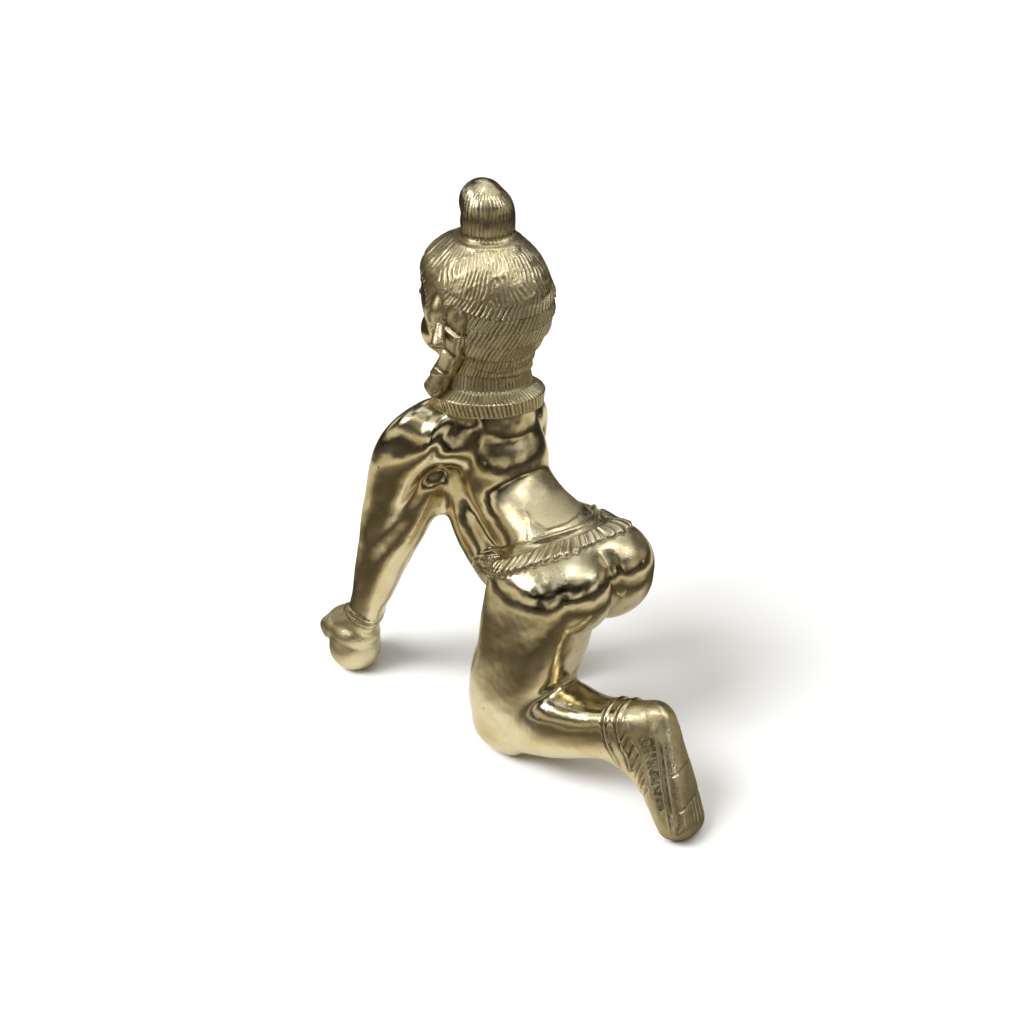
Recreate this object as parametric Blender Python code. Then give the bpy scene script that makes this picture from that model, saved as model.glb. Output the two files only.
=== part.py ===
# Crawling child figure with a sweet in its raised hand, cast in one piece of brass.
# The figure faces -Y, its left side is +X, and it stands on the floor at z = 0.
import math

import bmesh
import bpy
import numpy as np
from mathutils import Matrix, Vector

FIGURE_HEIGHT = 0.153  # metres, floor to the top of the hair knot
PARTS_IN_HEIGHT = 153.0  # the sculptor's grid: every pose and girth below is in these parts
GRID = FIGURE_HEIGHT / PARTS_IN_HEIGHT

# Worn and carried things have their own sizes, in metres.
GROUND_SWEET_DIAMETER = 0.0154  # the ball under the left hand
HELD_SWEET_DIAMETER = 0.0120  # the ball in the right palm
COLLAR_BAND_HEIGHT = 0.0048
COLLAR_BRIM_WIDTH = 0.0032
COLLAR_BRIM_DROP = 0.0021
COLLAR_BEVEL_HEIGHT = 0.0042
WAIST_CORD_WIDTH = 0.0020
WAIST_CORD_HEIGHT = 0.0009
WAIST_FRINGE_LENGTH = 0.0046
WAIST_APRON_LENGTH = 0.0044  # how much longer the fringe hangs over the left hip
WAIST_FRINGE_HEIGHT = 0.0005
ANKLET_WIDTH = 0.0016
ANKLET_HEIGHT = 0.0007
ANKLET_SPACING = 0.0024
BRACELET_WIDTH = 0.0014
BRACELET_HEIGHT = 0.0006
EARRING_DIAMETER = 0.0038
EARRING_LENGTH = 0.0090
HAIR_THICKNESS = 0.0006
CLEFT_DEPTH = 0.0016
CLEFT_WIDTH = 0.0036

# Pose, in parts of the figure's own height.
NECK = (0.0, -10.0, 101.9)  # top of the collar, on the neck's axis
NECK_GIRTH = 11.0
COLLAR_LEAN = (6.0, -5.0)  # degrees that the collar tips forward and to the figure's right
WRIST_LEFT = (25.0, -36.6, 19.6)
FOREARM_LEFT_LINE = (-0.12, 0.30, 0.94)
ANKLE_LEFT = (10.6, 53.0, 22.0)
SHIN_LEFT_LINE = (-0.24, 0.90, 0.37)
ANKLE_RIGHT = (-15.8, -0.5, 13.0)
WRIST_RIGHT = (-22.0, -33.0, 66.0)
WAIST_CENTRE = (0.0, 20.0, 63.4)
WAIST_NORMAL = (0.0, -0.467, 0.884)
WAIST_DIP = 0.045  # how fast the waistband drops under the belly

FLESH_VOXEL = 0.9
FLESH_ROUNDS = 14
SKIN_VOXEL = 0.75
SKIN_ROUNDS = 3
SKIN_TRIANGLES = 9000

RING_POINTS = 24
STEPS_PER_STATION = 6
DOME_RINGS = 4


def curve_through(stations, steps):
    """Smooth samples through rows of numbers."""
    rows = np.array(stations, float)
    padded = np.vstack([2 * rows[0] - rows[1], rows, 2 * rows[-1] - rows[-2]])
    samples = []
    for i in range(len(rows) - 1):
        a, b, c, d = padded[i : i + 4]
        for k in range(steps):
            t = k / steps
            bend = (2 * a - 5 * b + 4 * c - d) * t * t + (3 * b - a - 3 * c + d) * t**3
            samples.append(0.5 * (2 * b + (c - a) * t + bend))
    samples.append(rows[-1])
    return np.array(samples)


def skin_loops(clay, loops):
    """Joins rings of vertices end to end and closes both ends with a fan."""
    count = len(loops[0])
    for low, high in zip(loops, loops[1:]):
        for k in range(count):
            following = (k + 1) % count
            clay.faces.new((low[k], low[following], high[following], high[k]))
    for loop in (loops[0], loops[-1]):
        pole = clay.verts.new(sum((v.co for v in loop), Vector()) / count)
        for k in range(count):
            clay.faces.new((loop[k], loop[(k + 1) % count], pole))


def limb(clay, stations, side=(1, 0, 0), squareness=2.0):
    """A closed tube through (x, y, z, half width along side, half depth), with domed ends."""
    samples = curve_through(stations, STEPS_PER_STATION)
    centres, half = samples[:, :3], samples[:, 3:5]
    tangents = np.gradient(centres, axis=0)
    tangents /= np.linalg.norm(tangents, axis=1)[:, None]
    dome = [(-math.cos(a), math.sin(a)) for a in np.linspace(0, math.pi / 2, DOME_RINGS + 1)[:-1]]
    dome[0] = (-0.99, 0.15)
    rings = [(0, along, shrink) for along, shrink in dome]
    rings += [(i, 0.0, 1.0) for i in range(len(centres))]
    rings += [(len(centres) - 1, -along, shrink) for along, shrink in reversed(dome)]
    angles = np.linspace(0, 2 * math.pi, RING_POINTS, endpoint=False)
    power = 2.0 / squareness
    across = np.sign(np.cos(angles)) * np.abs(np.cos(angles)) ** power
    deep = np.sign(np.sin(angles)) * np.abs(np.sin(angles)) ** power
    loops = []
    for i, along, shrink in rings:
        t = tangents[i]
        s = np.array(side, float)
        s -= t * (s @ t)
        s /= np.linalg.norm(s)
        n = np.cross(t, s)
        ring = np.outer(across, s) * half[i, 0] + np.outer(deep, n) * half[i, 1]
        points = centres[i] + t * half[i].min() * along + ring * shrink
        loops.append([clay.verts.new(p) for p in points])
    skin_loops(clay, loops)


def egg(clay, centre, radii, turn=(0, 0, 0)):
    """An ellipsoid; turn is degrees about X, then Y, then Z."""
    rotation = Matrix.Identity(4)
    for angle, axis in zip(turn, "XYZ"):
        rotation = Matrix.Rotation(math.radians(angle), 4, axis) @ rotation
    place = Matrix.Translation(centre) @ rotation @ Matrix.Diagonal((*radii, 1))
    bmesh.ops.create_icosphere(clay, subdivisions=4, radius=1, matrix=place)


def turned(clay, centre, profile, lean):
    """A round solid from (radius, height) pairs, top first, leaning by degrees about X, then Y."""
    tip = Matrix.Rotation(math.radians(lean[1]), 3, "Y") @ Matrix.Rotation(math.radians(lean[0]), 3, "X")
    loops = []
    for radius, height in profile:
        ring = []
        for k in range(2 * RING_POINTS):
            angle = math.pi * k / RING_POINTS
            offset = Vector((radius * math.cos(angle), radius * math.sin(angle), height))
            ring.append(clay.verts.new(Vector(centre) + tip @ offset))
        loops.append(ring)
    skin_loops(clay, loops)


def torso(clay):
    limb(clay, [
        (0, 27, 54, 15.5, 12.5),
        (0, 19, 57, 14.5, 12.0),
        (0, 7, 62, 12.8, 11.0),
        (0, -1, 69, 12.3, 10.5),
        (0, -4, 77, 13.5, 10.8),
        (0, -8, 87, 13.0, 8.5),
    ])
    limb(clay, [
        (0, -10.5, 76, 12.6, 9.8),
        (0, -9.0, 63, 13.4, 12.2),
        (2.5, -2.5, 55, 12.4, 11.6),
        (5.0, 6, 50, 11.0, 10.5),
    ])
    egg(clay, (7.3, 31, 52.6), (12.0, 12.0, 12.5))
    egg(clay, (-7.5, 31.0, 54.4), (12.1, 12.0, 12.0))
    egg(clay, (14, -19.5, 66), (11.0, 5.5, 10.0), (0, 0, -51))


def left_leg(clay):
    limb(clay, [
        (11.0, 24.5, 50, 14.0, 14.0),
        (13.5, 23.5, 36, 13.6, 13.6),
        (15.9, 20.2, 21, 12.4, 12.4),
        (16.8, 19.6, 9.7, 10.7, 10.7),
    ])
    limb(clay, [
        (16.8, 19.5, 10.6, 9.8, 9.8),
        (14.2, 34.5, 16.2, 10.6, 10.6),
        (12.0, 47.0, 19.0, 8.2, 8.2),
        (9.5, 57.0, 23.0, 7.4, 7.4),
    ])
    limb(clay, [
        (5.4, 60.6, 26.0, 4.8, 7.2),
        (7.2, 64.4, 19.6, 5.8, 7.4),
        (8.9, 71.3, 11.2, 6.7, 6.2),
        (10.2, 77.0, 4.0, 6.9, 4.8),
    ], side=(-0.915, -0.198, -0.356), squareness=3.6)
    limb(clay, [
        (10.5, 52.0, 17.5, 6.6, 6.6),
        (9.8, 60.0, 15.5, 5.5, 5.5),
        (10.0, 68.0, 10.0, 4.6, 4.6),
    ])


def right_leg(clay):
    limb(clay, [
        (-9.5, 27, 50, 13.5, 13.5),
        (-13.5, 8, 48, 12.6, 12.6),
        (-16.0, -7, 44, 10.5, 10.5),
    ])
    limb(clay, [
        (-16.0, -7, 44, 9.6, 9.6),
        (-16.2, -4, 32, 9.2, 9.2),
        (-16.0, -1, 18, 7.6, 7.6),
        (-15.6, 0, 8, 6.8, 6.8),
    ])
    limb(clay, [
        (-15.0, 3, 4.8, 5.6, 5.5),
        (-16.5, -7, 5.2, 6.0, 5.5),
        (-19.5, -17, 3.6, 6.8, 4.2),
        (-21.5, -24, 2.8, 6.4, 3.2),
    ], squareness=3.0)


def left_arm(clay):
    limb(clay, [
        (9.0, -9.0, 83.5, 8.5, 8.0),
        (15.0, -15.0, 84.0, 8.4, 8.4),
        (20.0, -21.5, 77.0, 7.7, 7.7),
        (22.0, -26.0, 63.0, 6.2, 6.2),
        (23.0, -30.0, 47.0, 5.5, 5.5),
        (24.0, -34.0, 29.0, 5.0, 5.0),
        (25.0, -37.0, 18.0, 4.7, 4.7),
    ])
    limb(clay, [
        (15.0, -19.0, 68.0, 6.0, 7.0),
        (18.5, -22.5, 56.0, 6.4, 6.4),
        (20.7, -25.4, 49.0, 6.5, 6.5),
        (22.4, -28.6, 40.0, 5.9, 5.9),
        (23.8, -32.8, 29.0, 5.2, 5.2),
    ])


def right_arm(clay):
    limb(clay, [
        (-10.0, -9.0, 82.0, 7.5, 7.5),
        (-17.0, -14.0, 79.0, 7.0, 7.0),
        (-20.5, -17.5, 70.0, 6.2, 6.2),
        (-22.0, -21.0, 62.0, 5.8, 5.8),
    ])
    limb(clay, [
        (-22.0, -21.0, 62.0, 5.8, 5.8),
        (-22.5, -28.0, 64.0, 5.2, 5.2),
        (-22.0, -35.0, 67.0, 4.6, 4.6),
    ])


def head(clay):
    limb(clay, [
        (0, -7.0, 86, NECK_GIRTH, 10.5),
        (0, -9.0, 96, NECK_GIRTH, NECK_GIRTH),
        (0, -9.2, 104, NECK_GIRTH, 11.3),
        (0, -9.2, 112, 12.0, 12.0),
    ])
    egg(clay, (0, -10.0, 121), (16.5, 18.2, 18.6))
    egg(clay, (0, -15.5, 127), (14.2, 12.5, 10.5))
    egg(clay, (0, -14.5, 110), (12.6, 12.0, 10.5))
    for side in (1, -1):
        egg(clay, (side * 6.8, -19.5, 110.5), (6.2, 6.4, 6.6))
    limb(clay, [
        (0, -9.3, 136.0, 6.3, 6.3),
        (0, -9.2, 140.5, 7.1, 7.1),
        (0, -9.6, 144.6, 7.2, 7.1),
        (0, -11.3, 146.7, 6.2, 6.1),
    ])


def face(clay):
    limb(clay, [(0, -27.6, 120.5, 1.3, 1.2), (0, -28.4, 117.0, 1.5, 1.4), (0, -29.0, 113.8, 2.2, 1.7)])
    egg(clay, (0, -26.3, 108.8), (3.3, 1.8, 1.0))
    egg(clay, (0, -26.0, 107.0), (2.6, 1.8, 1.1))
    egg(clay, (0, -23.2, 103.2), (4.4, 3.6, 3.0))
    for side in (1, -1):
        egg(clay, (side * 5.8, -25.2, 117.6), (3.2, 1.6, 1.5), (0, side * 6, side * -14))


def ears_and_locks(clay):
    drop = EARRING_LENGTH / GRID / 2
    bore = EARRING_DIAMETER / GRID / 2
    for side in (1, -1):
        limb(clay, [
            (side * 16.2, -9.2, 125.0, 1.1, 2.2),
            (side * 16.9, -9.8, 121.5, 1.3, 2.6),
            (side * 16.6, -10.4, 118.0, 1.3, 2.0),
        ])
        limb(clay, [
            (side * 17.4, -9.8, 115.3 + drop * 0.6, bore * 0.65, bore * 0.65),
            (side * 17.2, -10.4, 115.3 - drop * 0.8, bore, bore),
        ])
        limb(clay, [
            (side * 13.8, -3.0, 125.0, 1.3, 2.2),
            (side * 14.8, -3.6, 118.9, 1.4, 2.6),
            (side * 13.6, -6.4, 111.9, 1.7, 2.6),
            (side * 12.8, -10.4, 105.8, 2.2, 2.6),
            (side * 15.0, -13.2, 98.0, 2.8, 3.0),
        ])


def collar(clay):
    band = COLLAR_BAND_HEIGHT / GRID
    brim = COLLAR_BRIM_WIDTH / GRID
    bevel = COLLAR_BEVEL_HEIGHT / GRID
    drop = COLLAR_BRIM_DROP / GRID
    top = NECK_GIRTH + 0.5
    turned(clay, NECK, [
        (top - 2.0, 0.3),
        (top, 0.0),
        (top + 0.8, -band),
        (top + 0.8 + brim, -band - drop),
        (top + 0.2 + brim, -band - drop - bevel),
        (top - 2.0, -band - drop - 0.4 - bevel),
    ], COLLAR_LEAN)


def hands(clay):
    ball = GROUND_SWEET_DIAMETER / GRID / 2
    palm = 2 * ball  # the hand rests on the ball's crown
    egg(clay, (25.8, -41.0, ball - 0.7), (ball, ball, ball))
    limb(clay, [
        (25.2, -37.0, palm + 3.0, 5.0, 5.0),
        (25.4, -41.6, palm + 1.0, 5.8, 4.4),
        (25.5, -45.8, palm - 2.4, 6.2, 4.8),
    ])
    egg(clay, (25.6, -46.0, palm - 4.4), (6.2, 4.8, 5.2))
    egg(clay, (25.6, -40.2, palm - 2.6), (7.2, 6.8, 4.6))
    egg(clay, (25.4, -35.8, palm - 3.2), (5.0, 2.6, 3.2))
    for k in range(4):
        spread = (k - 1.5) * 3.0
        limb(clay, [
            (25.5 + spread * 0.95, -45.8, palm + 0.2, 1.6, 1.6),
            (25.5 + spread, -49.4, palm - 3.0, 1.6, 1.6),
            (25.5 + spread * 0.9, -49.0, palm - 6.8, 1.5, 1.5),
        ])
    limb(clay, [
        (20.9, -38.5, palm - 0.8, 1.9, 1.9),
        (18.6, -42.0, palm - 3.4, 1.7, 1.7),
        (18.6, -45.6, palm - 6.0, 1.5, 1.5),
    ])

    held = HELD_SWEET_DIAMETER / GRID / 2
    limb(clay, [
        (-22.0, -34.0, 66.4, 4.4, 3.4),
        (-21.8, -39.5, 67.2, 5.4, 2.6),
        (-21.5, -44.5, 68.4, 5.4, 2.2),
    ])
    egg(clay, (-21.7, -42.0, 69.0 + held), (held, held, held))
    for k in range(4):
        spread = (k - 1.5) * 2.7
        limb(clay, [
            (-21.5 + spread, -43.5, 68.6, 1.5, 1.5),
            (-21.5 + spread * 1.05, -48.6, 70.8, 1.4, 1.4),
            (-21.5 + spread * 0.9, -49.0, 75.2, 1.3, 1.3),
        ])
    limb(clay, [
        (-26.6, -37.0, 67.6, 1.8, 1.8),
        (-28.4, -40.6, 71.0, 1.6, 1.6),
        (-27.0, -43.4, 74.6, 1.4, 1.4),
    ])


def toes(clay):
    for k in range(5):
        share = (k - 2) / 2
        left = 1.9 if k == 4 else 1.4
        right = 1.9 if k == 0 else 1.45
        left_toe = (10.6 - share * 4.6, 78.6 - share * 1.2, 3.4 - share * 1.7)
        egg(clay, left_toe, (left, left * 1.3, left * 1.4))
        egg(clay, (-21.9 - share * 4.8, -27.0 + share * 1.8, 2.1), (right, right * 1.8, right))


def mesh_of(body):
    evaluated = body.evaluated_get(bpy.context.evaluated_depsgraph_get())
    return bpy.data.meshes.new_from_object(evaluated)


def fused(clay, voxel, rounds):
    """Joins overlapping forms into one skin and softens where they meet."""
    bmesh.ops.recalc_face_normals(clay, faces=clay.faces)
    rough = bpy.data.meshes.new("rough")
    clay.to_mesh(rough)
    clay.free()
    body = bpy.data.objects.new("rough", rough)
    bpy.context.scene.collection.objects.link(body)
    remesh = body.modifiers.new("one skin", "REMESH")
    remesh.mode = "VOXEL"
    remesh.voxel_size = voxel
    soften = body.modifiers.new("soften", "SMOOTH")
    soften.factor = 0.5
    soften.iterations = rounds
    mesh = mesh_of(body)
    bpy.data.objects.remove(body)
    return mesh


def ridge(distance, width):
    """1 on the line, falling smoothly to 0 at half the width."""
    return np.clip(1 - (2 * distance / width) ** 2, 0, 1) ** 2


def plateau(distance, low, high, edge):
    """1 between low and high, with soft edges."""
    rise = np.clip((distance - low) / edge, 0, 1)
    fall = np.clip((high - distance) / edge, 0, 1)
    return np.minimum(rise, fall)


def along(points, origin, line):
    """How far each point lies along a line, and how far off it."""
    line = np.array(line) / np.linalg.norm(line)
    offset = points - np.array(origin)
    forward = offset @ line
    return forward, np.linalg.norm(offset - np.outer(forward, line), axis=1)


def carve(mesh):
    """Raises the worn bands and cuts the cleft, by moving each vertex along its normal."""
    count = len(mesh.vertices)
    points = np.empty(count * 3, np.float32)
    normals = np.empty(count * 3, np.float32)
    mesh.vertices.foreach_get("co", points)
    mesh.vertex_normals.foreach_get("vector", normals)
    points = points.reshape(-1, 3).astype(float)
    normals = normals.reshape(-1, 3)
    lift = np.zeros(count)

    arm = (points[:, 0] > 12) & (points[:, 1] < -8)
    raised_thigh = np.clip((points[:, 1] - 10) / 3, 0, 1) + np.clip((points[:, 0] + 11) / 2, 0, 1)
    hips = np.minimum(raised_thigh, 1) * (np.abs(points[:, 0]) < 27) * (points[:, 1] > -24) * ~arm
    height, _ = along(points, WAIST_CENTRE, WAIST_NORMAL)
    height += WAIST_DIP * np.clip(8 - points[:, 1], 0, 12) ** 2
    over_hip = np.clip((15 - points[:, 1]) / 8, 0, 1) * np.clip(points[:, 0] / 4, 0, 1)
    fringe = (WAIST_FRINGE_LENGTH + WAIST_APRON_LENGTH * over_hip) / GRID
    lift += hips * ridge(height, WAIST_CORD_WIDTH / GRID) * WAIST_CORD_HEIGHT / GRID
    lift += hips * plateau(height, -fringe, -0.4, 0.7) * WAIST_FRINGE_HEIGHT / GRID

    pair = ANKLET_SPACING / GRID
    for origin, line, reach in ((ANKLE_LEFT, SHIN_LEFT_LINE, 12), (ANKLE_RIGHT, (0, 0, 1), 12)):
        forward, off = along(points, origin, line)
        rings = ridge(forward, ANKLET_WIDTH / GRID) + ridge(forward - pair, ANKLET_WIDTH / GRID)
        lift += (off < reach) * rings * ANKLET_HEIGHT / GRID
    for origin, line in ((WRIST_LEFT, FOREARM_LEFT_LINE), (WRIST_RIGHT, (0.0, -0.92, 0.38))):
        forward, off = along(points, origin, line)
        rings = ridge(forward, BRACELET_WIDTH / GRID) + ridge(forward - 1.8, BRACELET_WIDTH / GRID)
        lift += (off < 8) * rings * BRACELET_HEIGHT / GRID

    behind_temples = points[:, 1] + 16.2
    above_brow = points[:, 2] - 131.0 + 0.03 * points[:, 0] ** 2
    hairline = np.log(np.exp(behind_temples) + np.exp(above_brow))
    hair = np.clip(hairline / 1.2, 0, 1) * np.clip((points[:, 2] - 105) / 3, 0, 1)
    lift += hair * HAIR_THICKNESS / GRID

    seat = np.clip((points[:, 1] - 33) / 6, 0, 1) * np.clip((66 - points[:, 2]) / 4, 0, 1)
    lift -= seat * ridge(points[:, 0], CLEFT_WIDTH / GRID) * CLEFT_DEPTH / GRID

    points += normals * lift[:, None]
    mesh.vertices.foreach_set("co", points.astype(np.float32).ravel())
    mesh.update()


def thinned(mesh, triangles):
    """Fewer, larger facets with the same form."""
    mesh.calc_loop_triangles()
    body = bpy.data.objects.new("thinned", mesh)
    bpy.context.scene.collection.objects.link(body)
    facets = body.modifiers.new("facets", "DECIMATE")
    facets.ratio = triangles / len(mesh.loop_triangles)
    facets.use_collapse_triangulate = True
    result = mesh_of(body)
    bpy.data.objects.remove(body)
    return result


def stand_on_floor(mesh):
    """Planes the underside flat at the floor and sets the origin at the footprint's centre."""
    clay = bmesh.new()
    clay.from_mesh(mesh)
    everything = clay.verts[:] + clay.edges[:] + clay.faces[:]
    cut = bmesh.ops.bisect_plane(clay, geom=everything, plane_no=(0, 0, 1), clear_inner=True, dist=0.02)
    rim = [item for item in cut["geom_cut"] if isinstance(item, bmesh.types.BMEdge)]
    bmesh.ops.holes_fill(clay, edges=rim, sides=0)
    bmesh.ops.triangulate(clay, faces=clay.faces)
    spots = [v.co for v in clay.verts]
    middle_x = (min(p.x for p in spots) + max(p.x for p in spots)) / 2
    middle_y = (min(p.y for p in spots) + max(p.y for p in spots)) / 2
    top = max(p.z for p in spots)
    bmesh.ops.translate(clay, verts=clay.verts, vec=(-middle_x, -middle_y, 0))
    bmesh.ops.scale(clay, verts=clay.verts, vec=[FIGURE_HEIGHT / top] * 3)
    clay.to_mesh(mesh)
    clay.free()


def brass():
    material = bpy.data.materials.new("brass")
    material.use_nodes = True
    shader = material.node_tree.nodes["Principled BSDF"]
    shader.inputs["Base Color"].default_value = (0.62, 0.50, 0.26, 1)
    shader.inputs["Metallic"].default_value = 1.0
    shader.inputs["Roughness"].default_value = 0.22
    return material


def main():
    for old in list(bpy.data.objects):
        bpy.data.objects.remove(old)
    clay = bmesh.new()
    for form in (torso, left_leg, right_leg, left_arm, right_arm, head):
        form(clay)
    flesh = fused(clay, FLESH_VOXEL, FLESH_ROUNDS)
    clay = bmesh.new()
    clay.from_mesh(flesh)
    for form in (face, ears_and_locks, collar, hands, toes):
        form(clay)
    mesh = fused(clay, SKIN_VOXEL, SKIN_ROUNDS)
    carve(mesh)
    mesh = thinned(mesh, SKIN_TRIANGLES)
    stand_on_floor(mesh)
    mesh.name = "idol"
    mesh.materials.append(brass())
    idol = bpy.data.objects.new("idol", mesh)
    bpy.context.scene.collection.objects.link(idol)


main()
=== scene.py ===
import math

import bmesh
import bpy
import numpy as np
from mathutils import Matrix, Vector


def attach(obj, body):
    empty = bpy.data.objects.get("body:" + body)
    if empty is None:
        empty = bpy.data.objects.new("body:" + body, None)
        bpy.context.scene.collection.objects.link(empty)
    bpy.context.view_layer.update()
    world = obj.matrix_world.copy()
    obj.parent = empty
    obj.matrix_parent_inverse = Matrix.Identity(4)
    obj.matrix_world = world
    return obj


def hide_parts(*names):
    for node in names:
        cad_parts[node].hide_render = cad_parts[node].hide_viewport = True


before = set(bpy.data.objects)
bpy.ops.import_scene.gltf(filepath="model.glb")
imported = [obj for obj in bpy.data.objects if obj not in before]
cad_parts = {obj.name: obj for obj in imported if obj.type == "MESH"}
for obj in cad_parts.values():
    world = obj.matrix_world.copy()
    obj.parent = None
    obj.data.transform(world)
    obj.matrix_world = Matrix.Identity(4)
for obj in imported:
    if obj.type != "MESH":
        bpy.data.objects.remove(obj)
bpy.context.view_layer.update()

# The figure is laid out on the sculptor's grid, as its solid is: it faces -Y, its left is +X,
# and the floor is z = 0.
figure = {
    "height": 0.153,  # metres, floor to the top of the hair knot
    "gridSteps": 153.0,
    "footprintMiddle": (1.8305, 15.4203),  # in grid steps
}
grid = figure["height"] / figure["gridSteps"]


def toRoom(point):
    x, y = figure["footprintMiddle"]
    return Vector(((point[0] - x) * grid, (point[1] - y) * grid, point[2] * grid))


def smoothPath(stations, steps):
    rows = np.array(stations, float)
    padded = np.vstack([2 * rows[0] - rows[1], rows, 2 * rows[-1] - rows[-2]])
    samples = []
    for i in range(len(rows) - 1):
        a, b, c, d = padded[i : i + 4]
        for k in range(steps):
            t = k / steps
            bend = (2 * a - 5 * b + 4 * c - d) * t * t + (3 * b - a - 3 * c + d) * t**3
            samples.append(0.5 * (2 * b + (c - a) * t + bend))
    samples.append(rows[-1])
    return np.array(samples)


def joinRings(clay, rings):
    count = len(rings[0])
    for low, high in zip(rings, rings[1:]):
        for k in range(count):
            clay.faces.new((low[k], low[(k + 1) % count], high[(k + 1) % count], high[k]))
    for ring in (rings[0], rings[-1]):
        pole = clay.verts.new(sum((v.co for v in ring), Vector()) / count)
        for k in range(count):
            clay.faces.new((ring[k], ring[(k + 1) % count], pole))


def limb(clay, stations, side=(1, 0, 0), square=2.0):
    # a tube through (x, y, z, half width, half depth) with domed ends
    samples = smoothPath(stations, 10)
    centres, half = samples[:, :3], samples[:, 3:5]
    lines = np.gradient(centres, axis=0)
    lines /= np.linalg.norm(lines, axis=1)[:, None]
    dome = [(-math.cos(a), math.sin(a)) for a in np.linspace(0.12, math.pi / 2, 8)[:-1]]
    rings = [(0, along, shrink) for along, shrink in dome]
    rings += [(i, 0.0, 1.0) for i in range(len(centres))]
    rings += [(len(centres) - 1, -along, shrink) for along, shrink in reversed(dome)]
    turn = np.linspace(0, 2 * math.pi, 48, endpoint=False)
    across = np.sign(np.cos(turn)) * np.abs(np.cos(turn)) ** (2 / square)
    deep = np.sign(np.sin(turn)) * np.abs(np.sin(turn)) ** (2 / square)
    loops = []
    for i, along, shrink in rings:
        s = np.array(side, float)
        s -= lines[i] * (s @ lines[i])
        s /= np.linalg.norm(s)
        ring = np.outer(across, s) * half[i, 0] + np.outer(deep, np.cross(lines[i], s)) * half[i, 1]
        points = centres[i] + lines[i] * half[i].min() * along + ring * shrink
        loops.append([clay.verts.new(p) for p in points])
    joinRings(clay, loops)


def egg(clay, centre, radii, turn=(0, 0, 0)):
    rotation = Matrix.Identity(4)
    for angle, axis in zip(turn, "XYZ"):
        rotation = Matrix.Rotation(math.radians(angle), 4, axis) @ rotation
    place = Matrix.Translation(centre) @ rotation @ Matrix.Diagonal((*radii, 1))
    bmesh.ops.create_icosphere(clay, subdivisions=5, radius=1, matrix=place)


def addForms(clay, forms):
    for item in forms.get("limbs", []):
        limb(clay, *item)
    for item in forms.get("eggs", []):
        egg(clay, *item)
    for stations, *rest in forms.get("pairedLimbs", []):
        for side in (1, -1):
            limb(clay, [(side * s[0], *s[1:]) for s in stations], *rest)
    for centre, radii, *turn in forms.get("pairedEggs", []):
        for side in (1, -1):
            rest = [(turn[0][0], side * turn[0][1], side * turn[0][2])] if turn else []
            egg(clay, (side * centre[0], *centre[1:]), radii, *rest)


def fuse(clay, voxel, rounds):
    bmesh.ops.recalc_face_normals(clay, faces=clay.faces)
    rough = bpy.data.meshes.new("rough")
    clay.to_mesh(rough)
    clay.free()
    body = bpy.data.objects.new("rough", rough)
    bpy.context.scene.collection.objects.link(body)
    skin = body.modifiers.new("skin", "REMESH")
    skin.mode = "VOXEL"
    skin.voxel_size = voxel
    soften = body.modifiers.new("soften", "SMOOTH")
    soften.factor = 0.5
    soften.iterations = rounds
    mesh = bpy.data.meshes.new_from_object(body.evaluated_get(bpy.context.evaluated_depsgraph_get()))
    bpy.data.objects.remove(body)
    return mesh


def model(flesh, trim, settings):
    # flesh is blended softly, trim is added after it and stays crisper
    clay = bmesh.new()
    addForms(clay, flesh)
    body = fuse(clay, settings["fleshVoxel"], settings["fleshRounds"])
    clay = bmesh.new()
    clay.from_mesh(body)
    addForms(clay, trim)
    return fuse(clay, settings["skinVoxel"], settings["skinRounds"])


def readPoints(mesh):
    count = len(mesh.vertices)
    points = np.empty(count * 3, np.float32)
    normals = np.empty(count * 3, np.float32)
    mesh.vertices.foreach_get("co", points)
    mesh.vertex_normals.foreach_get("vector", normals)
    return points.reshape(-1, 3).astype(float), normals.reshape(-1, 3).astype(float)


def refine(mesh, chosen):
    # halves the edges where both ends are chosen
    clay = bmesh.new()
    clay.from_mesh(mesh)
    clay.verts.ensure_lookup_table()
    edges = [e for e in clay.edges if chosen[e.verts[0].index] and chosen[e.verts[1].index]]
    bmesh.ops.subdivide_edges(clay, edges=edges, cuts=1, use_grid_fill=True)
    clay.to_mesh(mesh)
    clay.free()
    mesh.update()


def thin(mesh, most):
    # keeps a mesh under a number of triangles by thinning it where it is smooth
    mesh.calc_loop_triangles()
    lump = bpy.data.objects.new("lump", mesh)
    bpy.context.scene.collection.objects.link(lump)
    fewer = lump.modifiers.new("fewer", "DECIMATE")
    fewer.ratio = min(1, most / len(mesh.loop_triangles))
    thinned = bpy.data.meshes.new_from_object(lump.evaluated_get(bpy.context.evaluated_depsgraph_get()))
    bpy.data.objects.remove(lump)
    return thinned


def chase(mesh, rule):
    # the chaser's work: lifts and cuts each point along its normal and notes where metal stays dark or raw
    points, normals = readPoints(mesh)
    lift, cutAndShade, raw = rule(points, normals)
    points += normals * lift[:, None]
    points[:, 2] = np.maximum(points[:, 2], 0)  # filed flat where it stands
    mesh.vertices.foreach_set("co", points.astype(np.float32).ravel())
    for name, values in (("cutAndShade", cutAndShade), ("raw", raw)):
        layer = mesh.attributes.get(name) or mesh.attributes.new(name, "FLOAT", "POINT")
        layer.data.foreach_set("value", np.clip(values, 0, 1).astype(np.float32))
    mesh.update()


def ridge(distance, width):
    return np.clip(1 - (2 * distance / width) ** 2, 0, 1) ** 2


def fade(value, start, end):
    t = np.clip((value - start) / (end - start), 0, 1)
    return t * t * (3 - 2 * t)


def chance(number, seed):
    wave = np.sin(number * 12.9898 + seed * 78.233) * 43758.5453
    return wave - np.floor(wave)


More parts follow.
